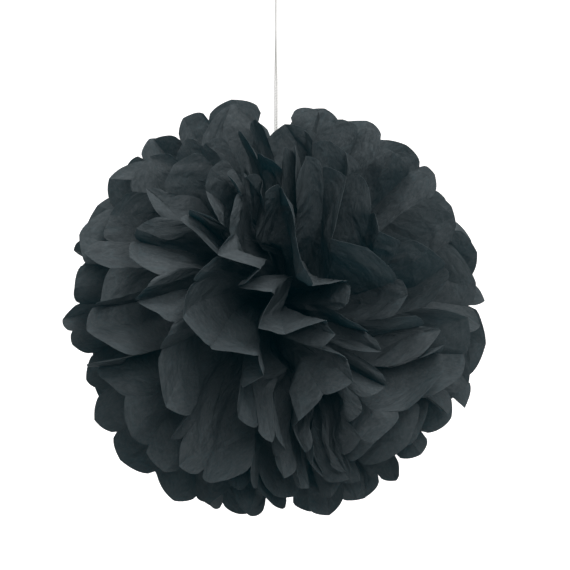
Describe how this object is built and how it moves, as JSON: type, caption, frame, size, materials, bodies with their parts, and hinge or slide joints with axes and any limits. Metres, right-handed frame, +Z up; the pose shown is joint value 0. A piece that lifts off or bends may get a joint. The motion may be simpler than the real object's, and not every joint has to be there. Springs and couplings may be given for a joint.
{
  "type": "tissue paper pom pom",
  "caption": "Hanging paper ball of pleated tissue sheets bound by a wire at the middle and pulled apart into petals, on a thin doubled cord.",
  "frame": {"origin": "top of the cord's hanging loop, straight over the middle of the ball", "axes": "+Z up along the cord, -Y towards the front pole of the ball, where the innermost petals meet, +X to the right of it"},
  "size_m": [0.3958, 0.3901, 0.5377],
  "materials": {
    "black_tissue": "matte black tissue paper with a slight sheen",
    "binding_wire_steel": "plain steel wire",
    "white_cord": "twisted white cotton"
  },
  "bodies": {
    "root": {"tissue_sheet_01": "black_tissue", "tissue_sheet_02": "black_tissue", "tissue_sheet_03": "black_tissue", "tissue_sheet_04": "black_tissue", "tissue_sheet_05": "black_tissue", "tissue_sheet_06": "black_tissue", "tissue_sheet_07": "black_tissue", "tissue_sheet_08": "black_tissue", "tissue_sheet_09": "black_tissue", "tissue_sheet_10": "black_tissue", "binding_wire": "binding_wire_steel", "hanging_cord": "white_cord"}
  },
  "joints": []
}
